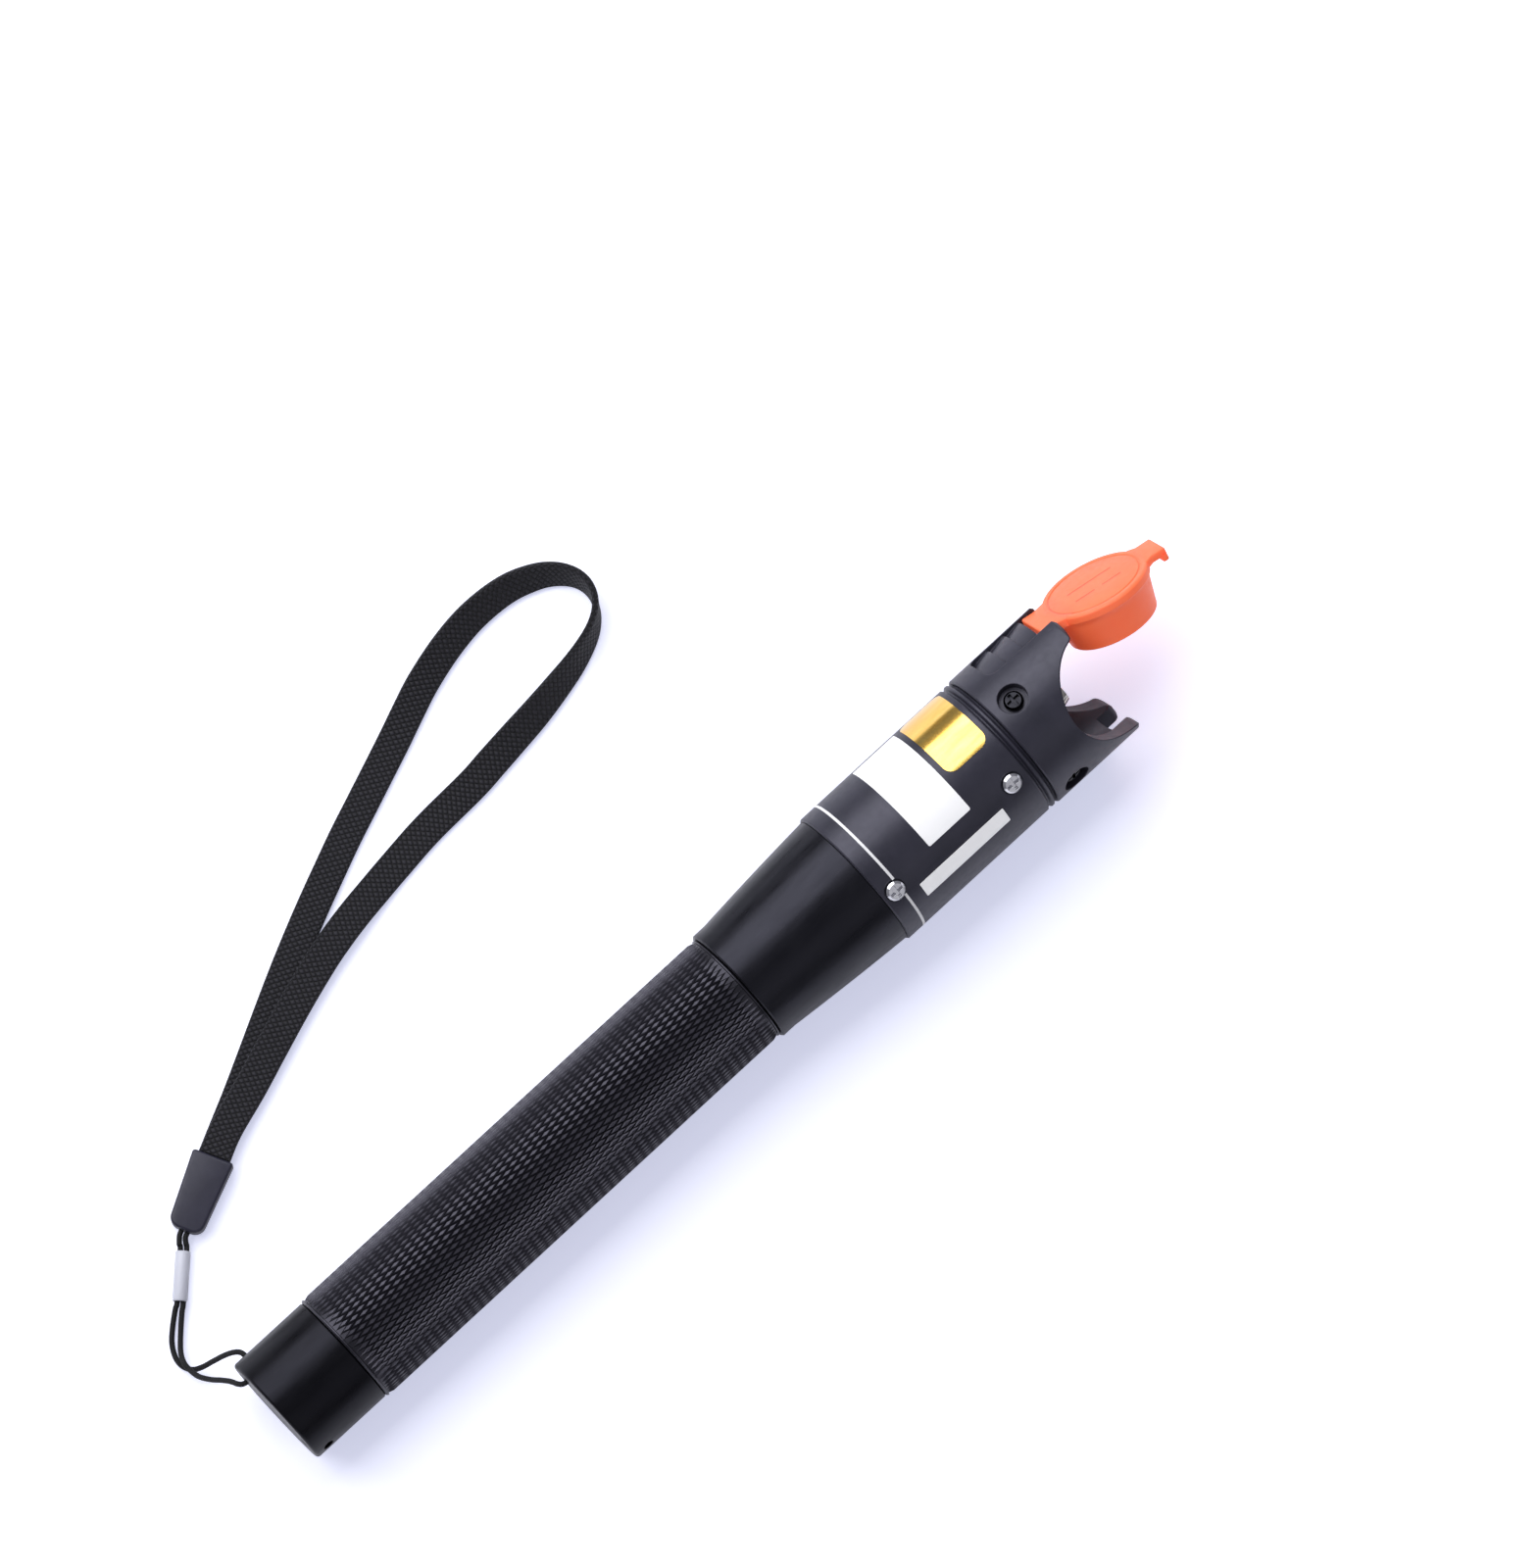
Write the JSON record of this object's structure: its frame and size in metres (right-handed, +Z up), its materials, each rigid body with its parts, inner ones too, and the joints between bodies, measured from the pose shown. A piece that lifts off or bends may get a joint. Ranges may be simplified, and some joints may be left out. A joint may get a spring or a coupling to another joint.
{
  "type": "visual fault locator pen",
  "caption": "Pen-shaped visual fault locator for fibre optics: knurled grip, tapered neck, screwed head shroud with split prongs, hinged orange dust cap over the ferrule port, and a wrist lanyard.",
  "frame": {"origin": "centre of the ferrule port's mouth, on the pen's axis", "axes": "+X out of the ferrule port along the pen; +Z up from the bench the pen lies on; the lanyard lies on the +Y side"},
  "size_m": [0.2023, 0.0896, 0.0259],
  "materials": {
    "anodised_black": "glossy black anodised aluminium",
    "charcoal_metal": "matte charcoal bead-blasted aluminium",
    "matte_charcoal": "matte",
    "block_metal": "dark turned",
    "screw_chrome": "bright",
    "port_nickel": "nickel plated",
    "spring_steel": "drawn wire",
    "contact_brass": "gold plated",
    "switch_frame": "tinned",
    "circuit_board": "solder mask",
    "insulator": "moulded",
    "cell_wrap": "shrink film",
    "seal_rubber": "matte",
    "clear_glass": "polished",
    "white_ceramic": "ground",
    "orange_rubber": "soft satin",
    "black_weave": "woven polyester",
    "clear_sleeve": "translucent",
    "crimp_plastic": "satin"
  },
  "bodies": {
    "pen": {"battery_tube": "anodised_black", "battery_rear": "cell_wrap", "battery_front": "cell_wrap", "tail_o_ring": "seal_rubber", "front_o_ring": "seal_rubber", "neck_cone": "anodised_black", "front_contact": "contact_brass", "contact_block": "insulator", "driver_board": "circuit_board", "slide_switch": "switch_frame", "laser_diode": "contact_brass", "lens": "clear_glass", "lens_ring": "contact_brass", "laser_block": "block_metal", "front_body": "charcoal_metal", "body_screws": "screw_chrome", "collar_ring": "charcoal_metal", "head_shroud": "charcoal_metal", "shroud_screws": "screw_chrome", "port_barrel": "port_nickel", "port_sleeve": "white_ceramic", "port_nut": "port_nickel", "cap_hinge_pin": "spring_steel"},
    "lid": {"cap_lid": "orange_rubber"},
    "knob": {"switch_knob": "matte_charcoal", "switch_lever": "insulator"},
    "spring": {"tail_spring": "spring_steel"},
    "tail": {"tail_cap": "anodised_black", "tail_contact": "contact_brass", "lanyard_cord": "black_weave", "lanyard_sleeve": "clear_sleeve", "lanyard_crimp": "crimp_plastic", "lanyard_strap": "black_weave"}
  },
  "joints": [
    {"name": "lid_hinge", "type": "hinge", "parent": "pen", "child": "lid", "pos_m": [0.0038, 0.00923, 0.00599], "axis": [0, -0.5446, 0.8387], "range_deg": [-80, 90]},
    {"name": "switch_slide", "type": "slide", "parent": "pen", "child": "knob", "axis": [1, 0, 0], "range_m": [-0.002, 0.002]},
    {"name": "tail_travel", "type": "slide", "parent": "pen", "child": "spring", "axis": [-1, 0, 0], "range_m": [0, 0.006]},
    {"name": "tail_turn", "type": "hinge", "parent": "spring", "child": "tail", "pos_m": [-0.1622, 0, 0], "axis": [-1, 0, 0], "range_deg": [0, 2161]}
  ],
  "couplings": [
    {"joint": "tail_turn", "follows": "tail_travel", "rad_per_m": 6283.2}
  ]
}
